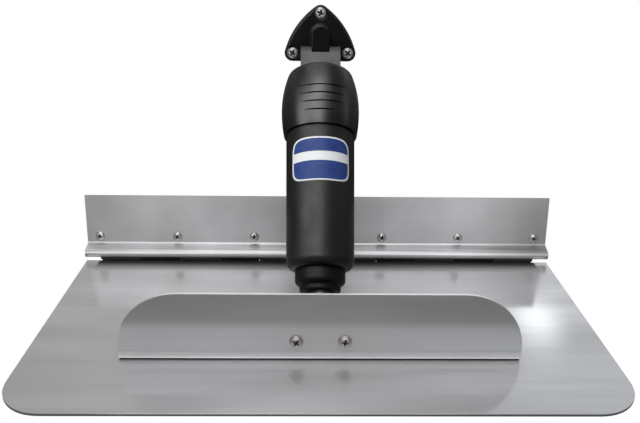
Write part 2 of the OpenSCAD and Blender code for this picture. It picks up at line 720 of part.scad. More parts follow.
// Compression spring round the rod, between piston and gland
coil_sides = 8;
coil_steps = 20;
coil_from = piston_end + coil_end_gap + wire_d / 2;
coil_to = gland_top - coil_end_gap - wire_d / 2;
function coil_point(i, side) =
    let(
        turn = 360 * i / coil_steps,
        section = 360 * side / coil_sides,
        r = coil_r + wire_d / 2 * cos(section),
        z = coil_from + (coil_to - coil_from) * i / (coil_steps * coil_count) + wire_d / 2 * sin(section)
    ) [r * cos(turn), r * sin(turn), -z];
module return_spring() color("gray") on_ram() {
    rings = coil_steps * coil_count;
    points = [for (i = [0 : rings], side = [0 : coil_sides - 1]) coil_point(i, side)];
    walls = [for (i = [0 : rings - 1], side = [0 : coil_sides - 1])
        let(a = i * coil_sides + side, b = i * coil_sides + (side + 1) % coil_sides)
            [a, b, b + coil_sides, a + coil_sides]];
    first = [for (side = [coil_sides - 1 : -1 : 0]) side];
    last = [for (side = [0 : coil_sides - 1]) rings * coil_sides + side];
    polyhedron(points, concat(walls, [first, last]));
}

transom_plate();
hinge_pin();
transom_screws();
trim_plane();
actuator_angle();
lower_bracket();
lower_bracket_screws();
lower_bracket_nuts();
lower_pivot_pin();
upper_bracket();
upper_bracket_screws();
upper_pivot_pin();
cylinder_head();
head_seal();
barrel();
rod_gland();
gland_seal();
rod_seal();
rod_wiper();
ram_rod();
piston();
piston_seal();
piston_nut();
ram_eye();
return_spring();
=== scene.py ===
"""Looks of a hydraulic boat trim tab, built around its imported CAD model, in metres."""
import math

import bmesh
import bpy
import numpy as np
from mathutils import Matrix, Vector


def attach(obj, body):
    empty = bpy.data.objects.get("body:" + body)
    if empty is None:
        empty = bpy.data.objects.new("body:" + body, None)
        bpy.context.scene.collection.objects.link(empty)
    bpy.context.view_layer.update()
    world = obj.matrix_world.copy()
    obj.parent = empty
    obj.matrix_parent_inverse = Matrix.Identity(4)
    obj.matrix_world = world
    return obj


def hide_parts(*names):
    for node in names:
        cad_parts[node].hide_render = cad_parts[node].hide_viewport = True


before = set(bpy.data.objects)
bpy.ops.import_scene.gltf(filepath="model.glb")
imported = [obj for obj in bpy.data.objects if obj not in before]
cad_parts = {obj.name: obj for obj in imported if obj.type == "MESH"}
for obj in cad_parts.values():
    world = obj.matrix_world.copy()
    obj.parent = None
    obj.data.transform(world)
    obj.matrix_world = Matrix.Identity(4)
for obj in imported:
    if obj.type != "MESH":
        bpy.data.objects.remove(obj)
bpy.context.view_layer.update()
scene = bpy.context.scene
scene.view_settings.view_transform = "Standard"


# Camera: a long table-top view from aft of the tab, a little above it, looking at the transom.
# It was fitted to the corners, screws and edges of the photographed plates.
camera_place = (-0.01035, -0.64430, 0.19178)
camera_pitch, camera_yaw, camera_roll = (math.radians(a) for a in (14.45, 1.07, 0.64))
focal_px, frame_width_px = 671.5, 640

forward = Vector((math.sin(camera_yaw) * math.cos(camera_pitch),
                  math.cos(camera_yaw) * math.cos(camera_pitch),
                  -math.sin(camera_pitch)))
level_right = forward.cross(Vector((0, 0, 1))).normalized()
level_up = level_right.cross(forward)
right = level_right * math.cos(camera_roll) + level_up * math.sin(camera_roll)
up = level_up * math.cos(camera_roll) - level_right * math.sin(camera_roll)
camera = bpy.data.objects.new("camera", bpy.data.cameras.new("camera"))
camera.data.sensor_fit = "HORIZONTAL"
camera.data.sensor_width = 36
camera.data.lens = focal_px * camera.data.sensor_width / frame_width_px
camera.data.clip_start = 0.01
camera.matrix_world = Matrix((
    (right.x, up.x, -forward.x, camera_place[0]),
    (right.y, up.y, -forward.y, camera_place[1]),
    (right.z, up.z, -forward.z, camera_place[2]),
    (0, 0, 0, 1)))
scene.collection.objects.link(camera)
scene.camera = camera


# Studio: a white surround, a pale floor below the lowest swing of the tab, and soft boxes.
# The steel mirrors a quiet room with a grey wall behind the boat and a small window at its right.
# Each soft box lights only the pieces that it is meant for, and not the floor.
white, floor_grey = (1, 1, 1, 1), (0.8, 0.8, 0.8, 1)
floor_level, floor_half, floor_glow = -0.15, 6.0, 1.22
floor_seen, floor_mirrored, room_seen, room_mirrored = 0.8, 1.0, 1.0, 0.06
lane_start, lane_full, lane_glow, lane_dark = -0.40, -0.56, (0.66, 0.16), 0.02
lane_half, lane_end = 0.26, 0.52
warm_white, cool_white = (1.03, 0.995, 0.965, 1), (0.955, 0.985, 1.03, 1)
room_left, room_right, room_fill = -0.45, 0.5, 0.06
window_x, window_z, window_glow = (0.320, 0.047), (0.616, 0.025), 2.6


def feed(tree, socket, value):
    """Joins a socket to another node's output, or sets it to a plain value."""
    if isinstance(value, bpy.types.NodeSocket):
        tree.links.new(value, socket)
    else:
        socket.default_value = value


def wire(tree, kind, **settings):
    """A node of that kind in tree; a setting goes to the input of its name, or else on the node."""
    node = tree.nodes.new(kind)
    for name, value in settings.items():
        if name in node.inputs:
            feed(tree, node.inputs[name], value)
        else:
            setattr(node, name, value)
    return node


def axes(tree, output):
    """The X, Y and Z of one output of a Texture Coordinate node."""
    vector = wire(tree, "ShaderNodeTexCoord").outputs[output]
    return wire(tree, "ShaderNodeSeparateXYZ", Vector=vector).outputs


def ranged(tree, value, from_min, from_max, to_min, to_max, smooth=True):
    """A Map Range node that carries value from one span to another and holds it at the ends."""
    steps = "SMOOTHSTEP" if smooth else "LINEAR"
    node = wire(tree, "ShaderNodeMapRange", interpolation_type=steps, Value=value)
    spans = (("From Min", from_min), ("From Max", from_max), ("To Min", to_min), ("To Max", to_max))
    for name, number in spans:
        feed(tree, node.inputs[name], number)
    return node.outputs["Result"]


def maths(tree, operation, first, second=0.0):
    """A Math node on two sockets or numbers."""
    node = wire(tree, "ShaderNodeMath", operation=operation)
    feed(tree, node.inputs[0], first)
    feed(tree, node.inputs[1], second)
    return node.outputs[0]


def product(tree, first, *others):
    """All the sockets or numbers multiplied."""
    for other in others:
        first = maths(tree, "MULTIPLY", first, other)
    return first


def distance(tree, first, second):
    """The square root of the sum of two squares."""
    squares = maths(tree, "ADD", product(tree, first, first), product(tree, second, second))
    return maths(tree, "SQRT", squares)


def off_centre(tree, value, centre, half_size):
    """How far value lies from centre, counted in half sizes."""
    return maths(tree, "DIVIDE", maths(tree, "SUBTRACT", value, centre), half_size)


def blend(tree, kind, share, first, second):
    """A Mix node of numbers, FLOAT, or of colours, RGBA: first at share 0 and second at share 1."""
    node = wire(tree, "ShaderNodeMix", data_type=kind)
    first_in, second_in, result = {"FLOAT": (2, 3, 0), "RGBA": (6, 7, 2)}[kind]
    for place, value in ((0, share), (first_in, first), (second_in, second)):
        feed(tree, node.inputs[place], value)
    return node.outputs[result]


def scaled(tree, colour, factor):
    """A colour times a number."""
    return wire(tree, "ShaderNodeVectorMath", operation="SCALE", Vector=colour, Scale=factor).outputs[0]


def surround(tree, plain, bright, seen, mirrored):
    """Mixes plain and bright: seen of bright to the camera and through glass, mirrored of it in gloss."""
    path = wire(tree, "ShaderNodeLightPath").outputs
    clear = maths(tree, "MAXIMUM", path["Is Camera Ray"], path["Is Transmission Ray"])
    share = maths(tree, "MAXIMUM", product(tree, clear, seen), product(tree, path["Is Glossy Ray"], mirrored))
    mixed = wire(tree, "ShaderNodeMixShader", Fac=share)
    feed(tree, mixed.inputs[1], plain.outputs[0])
    feed(tree, mixed.inputs[2], bright.outputs[0])
    return mixed.outputs[0]


world = bpy.data.worlds.new("studio_room")
scene.world = world
world.use_nodes = True
room = world.node_tree
room.nodes.clear()
direction = axes(room, "Generated")
behind = ranged(room, direction["Y"], 0.1, 0.7, 0.0, 1.0)
rightward = ranged(room, direction["X"], room_left, room_right, 0.34, 0.62)
left_corner = ranged(room, direction["X"], -0.42, -0.28, 0.82, 1.0)
toward_ceiling = ranged(room, direction["Z"], 0.5, 0.78, 1.35, 0.7)
above_floor = ranged(room, direction["Z"], 0.25, 0.48, 0.12, 1.0)
wall = product(room, behind, rightward, left_corner, toward_ceiling, above_floor)
from_window = distance(room, off_centre(room, direction["X"], *window_x),
                       off_centre(room, direction["Z"], *window_z))
window = product(room, behind, ranged(room, from_window, 0.2, 1.0, window_glow, 0.0))
lit_wall = maths(room, "ADD", maths(room, "ADD", wall, window), room_fill)
cool = ranged(room, direction["X"], room_left, room_right, 0.0, 1.0)
wall_colour = scaled(room, blend(room, "RGBA", cool, warm_white, cool_white), lit_wall)
dim = wire(room, "ShaderNodeBackground", Color=wall_colour, Strength=1.0)
bright = wire(room, "ShaderNodeBackground", Color=white, Strength=1.0)
wire(room, "ShaderNodeOutputWorld", Surface=surround(room, dim, bright, room_seen, room_mirrored))

floor = bpy.data.objects.new("floor", bpy.data.meshes.new("floor"))
corners = [(x * floor_half, y * floor_half, floor_level) for x, y in ((-1, -1), (1, -1), (1, 1), (-1, 1))]
floor.data.from_pydata(corners, [], [(0, 1, 2, 3)])
scene.collection.objects.link(floor)
pale_floor = bpy.data.materials.new("pale_floor")
pale_floor.use_nodes = True
tree = pale_floor.node_tree
tree.nodes.clear()
spot = axes(tree, "Object")
lane = ranged(tree, spot["Y"], lane_start, lane_full, 0.0, 1.0)
sheen = product(tree, lane, ranged(tree, maths(tree, "ABSOLUTE", spot["X"]), lane_half, lane_end, *lane_glow))
in_gloss = wire(tree, "ShaderNodeLightPath").outputs["Is Glossy Ray"]
glow = blend(tree, "FLOAT", in_gloss, floor_glow, maths(tree, "ADD", sheen, lane_dark))
matt = wire(tree, "ShaderNodeBsdfDiffuse", Color=floor_grey)
shining = wire(tree, "ShaderNodeEmission", Color=white, Strength=glow)
wire(tree, "ShaderNodeOutputMaterial", Surface=surround(tree, matt, shining, floor_seen, floor_mirrored))
floor.data.materials.append(pale_floor)

tab_lit = bpy.data.collections.new("lit_tab")
steel_lit = bpy.data.collections.new("lit_steel")
nylon_lit = bpy.data.collections.new("lit_nylon")
all_lit = bpy.data.collections.new("lit_all")
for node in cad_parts.values():
    all_lit.objects.link(node)


def soft_box(name, place, aim, size, radiance, receivers):
    """An area lamp of that size at place, turned to aim; its power is radiance times its area times pi."""
    lamp = bpy.data.lights.new(name, "AREA")
    lamp.shape = "RECTANGLE"
    lamp.size, lamp.size_y = size
    lamp.energy = radiance * size[0] * size[1] * math.pi
    box = bpy.data.objects.new(name, lamp)
    box.location = place
    box.rotation_euler = (Vector(aim) - Vector(place)).to_track_quat("-Z", "Y").to_euler()
    box.light_linking.receiver_collection = receivers
    scene.collection.objects.link(box)


soft_box("left_box", place=(-0.44, -0.88, 0.99), aim=(0, -0.1, 0.05), size=(1.3, 0.5), radiance=7.5,
         receivers=nylon_lit)
soft_box("far_left_box", place=(-1.05, -0.55, 0.70), aim=(0, -0.1, 0.05), size=(0.5, 0.4), radiance=7.5,
         receivers=nylon_lit)
soft_box("high_box", place=(-0.1, -0.62, 1.25), aim=(0, -0.05, 0.12), size=(0.6, 0.5), radiance=5.2,
         receivers=nylon_lit)
soft_box("right_box", place=(1.1, -0.05, 0.65), aim=(0, -0.05, 0.12), size=(0.3, 0.5), radiance=1.4,
         receivers=nylon_lit)
soft_box("top_box", place=(-0.1, -0.15, 1.25), aim=(0, -0.12, 0), size=(1.5, 0.9), radiance=1.8,
         receivers=all_lit)
soft_box("tab_box", place=(0, -0.90, 0.95), aim=(0, 0, 0), size=(2.6, 0.7), radiance=2.0,
         receivers=tab_lit)
soft_box("front_wall", place=(-0.12, -1.15, 0.52), aim=(0, 0, 0), size=(1.6, 1.1), radiance=1.7,
         receivers=steel_lit)


# Transom plate: one strip of 2 mm stainless sheet, folded into flange, shelf and round nose.
# Tongues of it are rolled round the hinge pin as the outer knuckles; painted shade makes them and the sheet
# within a few millimetres of the pin black.
# Its mill finish has streaks along the boat's width, and handling leaves faint clouds.
hinge_y, hinge_z = -0.004995, -0.021035
knuckles_end, knuckles_fade = 0.2145, 0.003
shade_black = (0.012, 0.011, 0.010, 1)
streak_scale, cloud_scale = (8, 140, 420), (11, 11, 11)
crevice = 0.002
shelf_ends, shelf_sides = (0.165, 0.222), (-0.2, 0.2)


def new_material(name):
    """A material with nodes: itself, its node tree and its Principled BSDF."""
    material = bpy.data.materials.new(name)
    material.use_nodes = True
    return material, material.node_tree, material.node_tree.nodes["Principled BSDF"]


def steel_sheet(name, shade, metal, rough, streak=0.3, cloud=1.0, warm=0.0, smear=cloud_scale,
                shade_reach=(0.0042, 0.0056), painted_light=None, dull=None):
    """Mill-finish stainless: streaks along X and clouds of scale smear vary its colour, warm makes it
    brownish.
    Painted shade makes it black, matt and not metallic within a given reach of the hinge pin, in crevices
    that ambient occlusion finds, and where the attribute recess marks a screw's cross.
    A piece may give its own painted light and shade as a factor on its colour, and dull gives roughness to
    add."""
    material, tree, surface = new_material(name)
    place = wire(tree, "ShaderNodeTexCoord").outputs["Object"]
    spot = wire(tree, "ShaderNodeSeparateXYZ", Vector=place).outputs
    along = wire(tree, "ShaderNodeMapping", Vector=place, Scale=streak_scale).outputs[0]
    streaks = wire(tree, "ShaderNodeTexNoise", Vector=along, Scale=1.0, Detail=5.0,
                   Roughness=0.6).outputs["Fac"]
    drawn = wire(tree, "ShaderNodeMapping", Vector=place, Scale=smear).outputs[0]
    clouds = wire(tree, "ShaderNodeTexNoise", Vector=drawn, Scale=1.0, Detail=3.0,
                  Roughness=0.5).outputs["Fac"]
    ramp = wire(tree, "ShaderNodeValToRGB", Fac=blend(tree, "FLOAT", 0.4 * streak, clouds, streaks))
    low, high = ramp.color_ramp.elements
    low.position, high.position = 0.3, 0.7
    dark, pale = shade * (1 - 0.12 * cloud), shade * (1 + 0.10 * cloud)
    low.color = (dark, dark * (1 - 0.06 * warm), dark * (1.01 - 0.1 * warm), 1)
    high.color = (pale, pale * (1.01 - 0.06 * warm), pale * (1.03 - 0.1 * warm), 1)
    colour = ramp.outputs["Color"]
    if painted_light:
        colour = scaled(tree, colour, painted_light(tree, spot, streaks))

    # Painted shade: black round the hinge knuckles, in a screw's cross and in crevices that ambient occlusion
    # finds.
    reach = distance(tree, maths(tree, "SUBTRACT", spot["Y"], hinge_y),
                     maths(tree, "SUBTRACT", spot["Z"], hinge_z))
    past_end = ranged(tree, maths(tree, "ABSOLUTE", spot["X"]),
                      knuckles_end, knuckles_end + knuckles_fade, 0.0, 1.0)
    off_hinge = maths(tree, "MAXIMUM", ranged(tree, reach, *shade_reach, 0.03, 1.0), past_end)
    recess = wire(tree, "ShaderNodeAttribute", attribute_name="recess").outputs["Fac"]
    off_recess = ranged(tree, recess, 0.25, 0.6, 1.0, 0.04)
    open_air = wire(tree, "ShaderNodeAmbientOcclusion", Distance=crevice, samples=8).outputs["AO"]
    unshaded = product(tree, off_hinge, off_recess, ranged(tree, open_air, 0.3, 0.75, 0.05, 1.0))
    feed(tree, surface.inputs["Base Color"], blend(tree, "RGBA", unshaded, shade_black, colour))
    feed(tree, surface.inputs["Metallic"], product(tree, unshaded, metal))

    gloss = ranged(tree, streaks, 0.3, 0.7, rough - 0.015 * streak, rough + 0.025 * streak)
    if dull:
        gloss = maths(tree, "ADD", gloss, dull(tree, spot))
    matt_in_shade = ranged(tree, unshaded, 0.0, 1.0, 0.45, 0.0)
    feed(tree, surface.inputs["Roughness"], maths(tree, "ADD", gloss, matt_in_shade))
    fine = wire(tree, "ShaderNodeBump", Height=streaks, Strength=0.03 * streak, Distance=0.0004)
    feed(tree, surface.inputs["Normal"], fine.outputs["Normal"])
    return material


def shelf_painted_shade(tree, spot, streaks):
    """Painted light and shade: darker ends, and on the level shelf a painted streaky reflection that darkens
    towards the right.
    """
    level = ranged(tree, axes(tree, "Normal")["Z"], 0.8, 0.97, 0.0, 1.0)
    streaky = ranged(tree, streaks, 0.36, 0.64, 0.35, -0.05, smooth=False)
    sideways = ranged(tree, spot["X"], *shelf_sides, -0.06, 0.2)
    shelf = maths(tree, "SUBTRACT", 1.0, product(tree, level, maths(tree, "ADD", streaky, sideways)))
    return product(tree, shelf, ranged(tree, maths(tree, "ABSOLUTE", spot["X"]), *shelf_ends, 1.0, 0.84))


def dress(material, lamps, *nodes):
    """The CAD nodes keep their shape, take this material in every slot and join the lamps' receivers."""
    for name in nodes:
        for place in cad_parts[name].material_slots:
            place.material = material
        lamps.objects.link(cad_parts[name])


# The plate's ends and shelf carry painted shade and a painted streaky reflection.
plate_steel = steel_sheet("plate_stainless", shade=0.69, metal=0.55, rough=0.3, streak=0.25, cloud=1.6,
                          painted_light=shelf_painted_shade)
dress(plate_steel, steel_lit, "transom_plate")


# Hinge pin: a straight rod of bright stainless, drawn and cut to length.
# It is pushed through the knuckles of both sheets, and its ends are peened over.
# Painted shade makes it black along the knuckles.
bright_steel = steel_sheet("bright_stainless", shade=0.6, metal=0.65, rough=0.17)
dress(bright_steel, steel_lit, "hinge_pin")


# Tab: one flat plate of 2 mm stainless sheet with round trailing corners, smoother than the other sheets.
# It swings on the pin by its own rolled knuckles, which painted shade makes black, fading out within 28 mm of
# the pin as a painted dark reflection, and long smears lie across it.
# It is rubbed duller near the hinge and in front of the angle, and its edges are eased with a file.
filed_edge = 0.00035
hinge_rub, hinge_rub_rough = (-0.085, -0.055), 0.13
angle_rub, angle_rub_rough = (-0.19, -0.176), 0.14
angle_rub_half = (0.05, 0.12)


def rubbed(tree, spot):
    """Roughness that grows towards the hinge, and in the middle in front of the angle."""
    near_hinge = ranged(tree, spot["Y"], *hinge_rub, 0.0, hinge_rub_rough)
    middle = ranged(tree, maths(tree, "ABSOLUTE", spot["X"]), *angle_rub_half, 1.0, 0.0)
    near_angle = product(tree, middle, ranged(tree, spot["Y"], *angle_rub, angle_rub_rough, 0.0))
    return maths(tree, "ADD", near_hinge, near_angle)


def soften(width, *nodes, clamp=True):
    """A narrow rounding on the sharp edges of CAD nodes, as a modifier over their welded seams."""
    for name in nodes:
        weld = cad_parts[name].modifiers.new("weld", "WELD")
        weld.merge_threshold = 1e-6
        round_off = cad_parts[name].modifiers.new("round_off", "BEVEL")
        round_off.width = width
        round_off.segments = 2
        round_off.limit_method = "ANGLE"
        round_off.angle_limit = math.radians(35)
        round_off.use_clamp_overlap = clamp
        even_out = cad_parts[name].modifiers.new("even_out", "WEIGHTED_NORMAL")
        even_out.weight = 100
        even_out.keep_sharp = True


# Its painted shade reaches further from the pin than on the other sheets, as a painted dark reflection of the
# hinge.
tab_steel = steel_sheet("tab_stainless", shade=0.6, metal=0.65, rough=0.11, streak=0.6, cloud=1.3,
                        smear=(5, 34, 34), shade_reach=(0.0075, 0.028), dull=rubbed)
dress(tab_steel, tab_lit, "trim_plane")
soften(filed_edge, "trim_plane")


# Angle: stainless sheet with wide round upper corners, bent so that its foot lies on the tab.
# It carries the clevis and takes the push of the ram.
# Painted shade makes its upright face darker above, a painted highlight under a thin painted shadow line
# lightens the bend, and a painted highlight brightens its cut edge.
bend_top, bend_depth, bend_line, rim_start = -0.0388, 0.004, 0.0006, 0.003
face_fade, face_painted_shade = (-0.0215, -0.011), (1.11, 0.77)


def bend_painted_light(tree, spot, streaks):
    """Painted light and shade: the upright face darker above, a painted highlight in the bend under a thin
    painted shadow line, a painted highlight on the cut edge.
    """
    upright = ranged(tree, maths(tree, "ABSOLUTE", axes(tree, "Normal")["Y"]), 0.5, 0.9, 0.0, 1.0)
    face = ranged(tree, spot["Z"], *face_fade, *face_painted_shade)
    bend = product(tree, upright, ranged(tree, spot["Z"], bend_top - bend_depth, bend_top, 0.22, 0.0))
    above = ranged(tree, spot["Z"], bend_top, bend_top + rim_start, 0.0, 0.7)
    rim = product(tree, maths(tree, "SUBTRACT", 1.0, upright), above)
    off_line = maths(tree, "ABSOLUTE", maths(tree, "SUBTRACT", spot["Z"], bend_top))
    line = ranged(tree, off_line, 0.0, bend_line, 0.84, 1.0)
    return product(tree, face, maths(tree, "ADD", maths(tree, "ADD", bend, rim), 1.0), line)


angle_steel = steel_sheet("angle_stainless", shade=0.74, metal=0.6, rough=0.36, streak=0.25,
                          smear=(5, 18, 18), painted_light=bend_painted_light)
dress(angle_steel, tab_lit, "actuator_angle")
soften(filed_edge, "actuator_angle")


# Transom screws: six pan head screws of bright stainless, with a cross recess and rolled threads.
# They are cold headed, and hold the plate to the transom, three on each side of the ram.
plate_face = -0.002
plate_half, end_inset, screw_pitch = 0.2286, 0.0127, 0.0762
cross_depth, thread_core, thread_flank = 0.8, 0.45, 2.4


def skin(name, grids, material, lamps):
    """One mesh over like grids of points, rows by turns: quads between neighbours, each row closed on itself.
    Points that meet, as at the poles, are welded."""
    grids = np.stack(grids)
    index = np.arange(grids[..., 0].size).reshape(grids.shape[:3])
    beside = np.roll(index, -1, axis=2)
    quads = np.stack((index[:, :-1], index[:, 1:], beside[:, 1:], beside[:, :-1]), axis=-1).reshape(-1, 4)
    mesh = bpy.data.meshes.new(name)
    mesh.from_pydata(grids.reshape(-1, 3).tolist(), [], quads.tolist())
    welded = bmesh.new()
    welded.from_mesh(mesh)
    bmesh.ops.remove_doubles(welded, verts=welded.verts, dist=1e-7)
    welded.to_mesh(mesh)
    welded.free()
    mesh.shade_smooth()
    mesh.materials.append(material)
    piece = bpy.data.objects.new(name, mesh)
    scene.collection.objects.link(piece)
    for receivers in (all_lit, lamps):
        receivers.objects.link(piece)
    return piece


def mesh_points(piece):
    """The places of a piece's vertices, one row each."""
    points = np.empty(len(piece.data.vertices) * 3)
    piece.data.vertices.foreach_get("co", points)
    return points.reshape(-1, 3)


def crown_height(share, head_h):
    """A pan head's crown at a share of its radius: head_h * (1 - share^3)^(1/2.2)."""
    return head_h * np.clip(1 - share ** 3, 0, 1) ** (1 / 2.2)


def screw_grid(head_d, head_h, shank_d, length, grip, pitch, turn):
    """Rows from the crown of a pan head over its rim, along the shank to its point, as (x, y, out).
    A cross of two tapered slots sinks into the crown by cross_depth of its height.
    The shank's radius is its core plus a ridge that climbs one pitch a turn."""
    angle = np.linspace(0, 2 * math.pi, 96, endpoint=False)
    share = np.sin(np.linspace(0, math.pi / 2, 34))
    r = head_d / 2 * share
    x, y = r[:, None] * np.cos(angle + turn), r[:, None] * np.sin(angle + turn)
    arm, reach, soft = 0.085 * head_d, 0.30 * head_d, 0.05 * head_d
    slot_x = np.clip((arm - abs(y)) / soft, 0, 1) * np.clip((reach - abs(x)) / (3 * soft), 0, 1)
    slot_y = np.clip((arm - abs(x)) / soft, 0, 1) * np.clip((reach - abs(y)) / (3 * soft), 0, 1)
    crown = crown_height(share, head_h)[:, None] - cross_depth * head_h * np.maximum(slot_x, slot_y)
    head = np.stack((r[:, None] * np.cos(angle), r[:, None] * np.sin(angle), crown), axis=-1)
    threaded = length - shank_d - grip
    depth = np.linspace(0, threaded, int(6 * threaded / pitch))
    wave = (depth[:, None] / pitch - angle / (2 * math.pi)) % 1
    ridge = np.clip(1 - thread_flank * abs(wave - 0.5), 0, 1) * np.clip(depth / pitch, 0, 1)[:, None]
    core = thread_core * shank_d
    radius = np.concatenate((
        np.array((core, core))[:, None] * np.ones_like(angle),
        core + (shank_d / 2 - core) * ridge,
        np.array((core, 0.1 * shank_d, 0))[:, None] * np.ones_like(angle)))
    out = -np.concatenate(((0, grip), grip + depth, (grip + threaded, length, length)))
    out = out[:, None] * np.ones_like(angle)
    shank = np.stack((radius * np.cos(angle), radius * np.sin(angle), out), axis=-1)
    return np.concatenate((head, shank))


def drive_screws(node, material, places, aft, turns, **sizes):
    """Screws of those sizes at places, their heads towards aft, in one piece that stands for the CAD node.
    Its attribute recess is how deep a point lies under the plain crown, as a share of the cross's depth."""
    across, aft, places = np.array((1, 0, 0)), np.array(aft), np.array(places)
    upright = np.cross(aft, across)
    axes_of_screw = np.stack((across, upright, aft))
    grids = [place + screw_grid(turn=math.radians(turn), **sizes) @ axes_of_screw
             for place, turn in zip(places, turns)]
    piece = skin(f"{node}_dressed", grids, material, steel_lit)
    offset = mesh_points(piece)[:, None] - places
    out = offset @ aft
    radius = np.linalg.norm(offset - out[..., None] * aft, axis=-1)
    own = radius.argmin(axis=1)[:, None]
    out, radius = np.take_along_axis(out, own, 1)[:, 0], np.take_along_axis(radius, own, 1)[:, 0]
    plain_crown = crown_height(2 * radius / sizes["head_d"], sizes["head_h"])
    sunk = (plain_crown - out) / (cross_depth * sizes["head_h"])
    recess = np.where(out > -1e-5, np.clip(sunk, 0, 1), 0)
    piece.data.attributes.new("recess", "FLOAT", "POINT").data.foreach_set("value", recess)
    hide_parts(node)
    return piece


row = [side * (plate_half - end_inset - step * screw_pitch) for side in (-1, 1) for step in range(3)]
transom_screws = drive_screws(
    "transom_screws", bright_steel, [(x, plate_face, 0) for x in row], (0, -1, 0), (12, 40, 5, 31, 60, 22),
    head_d=0.0092, head_h=0.003, shank_d=0.0048, length=0.0254, grip=0.002, pitch=0.0016)
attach(transom_screws, "transom_mount")


# Clevis: a moulding of black glass-filled nylon behind the angle that holds the eye of the ram.
# Two stainless pan head screws with nuts hold it, put in from the front of the angle and darkened by use.
# A stainless pin goes through its cheeks and the eye.
tab_slope = math.radians(8.4)
clevis_out, clevis_high, clevis_screw_reach = -0.171, 0.01585, 0.0185
rim_light_start, rim_light_full = -0.010, -0.014
moulded_edge = 0.0004


def moulded_nylon(name, shade, rough, shine, painted_rim_light=0.0, neck=None):
    """Moulded nylon: a fine grain roughens the skin and its gloss wanders; as painted shade, the gloss goes
    down in crevices that ambient occlusion finds.
    Faces not turned aft get a painted highlight that pales them by the given share, and by a third of it
    close to the transom.
    neck gives the heights between which the gloss goes down, as painted shade on the neck."""
    material, tree, surface = new_material(name)
    place = wire(tree, "ShaderNodeTexCoord").outputs["Object"]
    spot = wire(tree, "ShaderNodeSeparateXYZ", Vector=place).outputs
    grain = wire(tree, "ShaderNodeTexNoise", Vector=place, Scale=1400.0, Detail=2.0).outputs["Fac"]
    patches = wire(tree, "ShaderNodeTexNoise", Vector=place, Scale=60.0, Detail=3.0).outputs["Fac"]
    surface.inputs["Base Color"].default_value = (*shade, 1)
    # Painted highlight on rims and faces not turned aft.
    if painted_rim_light:
        aside = ranged(tree, axes(tree, "Normal")["Y"], -0.985, -0.7, 0.0, 1.0)
        proud = ranged(tree, spot["Y"], rim_light_full, rim_light_start, painted_rim_light, 0.35 * painted_rim_light)
        paler = maths(tree, "ADD", product(tree, aside, proud), shade[0])
        grey = wire(tree, "ShaderNodeCombineColor", Red=paler, Green=paler, Blue=paler)
        feed(tree, surface.inputs["Base Color"], grey.outputs[0])
    # Painted shade: the gloss goes down where ambient occlusion finds a crevice.
    open_air = wire(tree, "ShaderNodeAmbientOcclusion", Distance=2 * crevice, samples=8).outputs["AO"]
    shaded_gloss = ranged(tree, open_air, 0.45, 0.95, 0.03, shine)
    if neck:
        shaded_gloss = product(tree, shaded_gloss, ranged(tree, spot["Z"], *neck, 1.0, 0.7))
    feed(tree, surface.inputs["Specular IOR Level"], shaded_gloss)
    feed(tree, surface.inputs["Roughness"], ranged(tree, patches, 0.3, 0.7, rough - 0.04, rough + 0.05))
    skin_bump = wire(tree, "ShaderNodeBump", Height=grain, Strength=0.12, Distance=0.0002)
    feed(tree, surface.inputs["Normal"], skin_bump.outputs["Normal"])
    return material


# This nylon gets a painted highlight on faces not turned aft.
bracket_nylon = moulded_nylon("bracket_nylon", (0.002, 0.002, 0.002), rough=0.4, shine=0.14, painted_rim_light=0.03)
dress(bracket_nylon, nylon_lit, "lower_bracket")
soften(moulded_edge, "lower_bracket")
# The pins are a dark steel, as painted shade where they show in the gaps.
shaded_pin_steel = steel_sheet("shaded_pin_stainless", shade=0.2, metal=0.8, rough=0.4, streak=0.5)
dress(shaded_pin_steel, steel_lit, "lower_pivot_pin")
dress(bright_steel, steel_lit, "lower_bracket_nuts")

clevis_steel = steel_sheet("clevis_stainless", shade=0.42, metal=0.55, rough=0.2, warm=1.0)
screw_y = hinge_y + clevis_out * math.cos(tab_slope) - clevis_high * math.sin(tab_slope)
screw_z = hinge_z + clevis_out * math.sin(tab_slope) + clevis_high * math.cos(tab_slope)
clevis_screws = drive_screws(
    "lower_bracket_screws", clevis_steel,
    [(x, screw_y, screw_z) for x in (-clevis_screw_reach, clevis_screw_reach)],
    (0, -math.cos(tab_slope), -math.sin(tab_slope)), (35, 8),
    head_d=0.0104, head_h=0.0034, shank_d=0.005, length=0.017, grip=0.008, pitch=0.001)
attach(clevis_screws, "tab")


# Upper bracket: a pointed arch with an arched lug, moulded in one from black glass-filled nylon.
# Three stainless pan head screws hold it to the transom.
# A stainless pin through its lug carries the ram.
bracket_z, bracket_face = 0.1787, -0.0065
top_screw_rise, side_screw_reach = 0.0354, 0.0254
lug_edge = 0.0008
# It takes the same nylon, with a painted highlight on its rims and lug edges.
dress(bracket_nylon, nylon_lit, "upper_bracket")
soften(lug_edge, "upper_bracket", clamp=False)
dress(shaded_pin_steel, steel_lit, "upper_pivot_pin")

bracket_steel = steel_sheet("headed_stainless", shade=0.5, metal=0.6, rough=0.24, warm=1.0)
bracket_screws = drive_screws(
    "upper_bracket_screws", bracket_steel,
    [(0, bracket_face, bracket_z + top_screw_rise), (-side_screw_reach, bracket_face, bracket_z),
     (side_screw_reach, bracket_face, bracket_z)],
    (0, -1, 0), (20, 32, 40),
    head_d=0.0112, head_h=0.004, shank_d=0.006, length=0.038, grip=0.0065, pitch=0.002)
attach(bracket_screws, "transom_mount")


